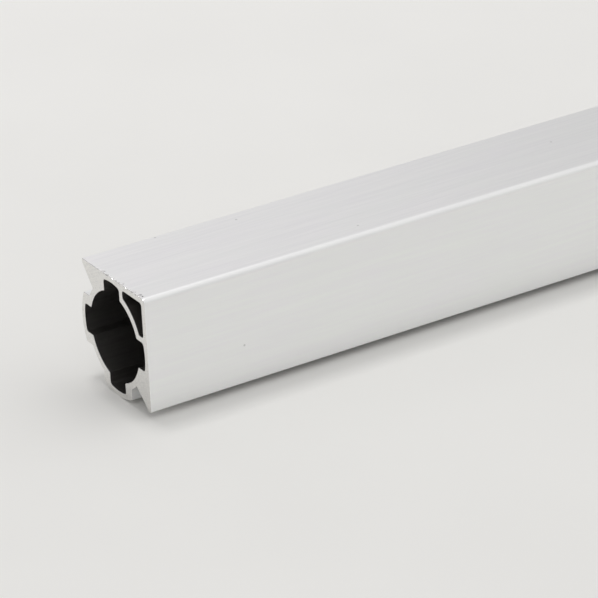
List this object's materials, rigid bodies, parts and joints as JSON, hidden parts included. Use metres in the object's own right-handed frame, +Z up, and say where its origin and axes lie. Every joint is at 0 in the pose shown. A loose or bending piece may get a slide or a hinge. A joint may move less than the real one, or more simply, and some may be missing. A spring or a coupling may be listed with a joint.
{
  "type": "extruded aluminium frame tube",
  "caption": "Straight extruded aluminium tube: round pocketed bore, square corner with two flat faces and fins, round back for clamps. Stock for bolt-together frames.",
  "frame": {"origin": "on the floor, under the bore axis, at the middle of the bar's length", "axes": "+Y along the bar, away from the end that the picture shows; +Z up, out of the top flat; +X out of the side flat"},
  "size_m": [0.028, 1, 0.028],
  "materials": {
    "anodised_aluminium": "clear anodised, satin, with sawn ends"
  },
  "bodies": {
    "root": {"square_tube": "anodised_aluminium"}
  },
  "joints": []
}
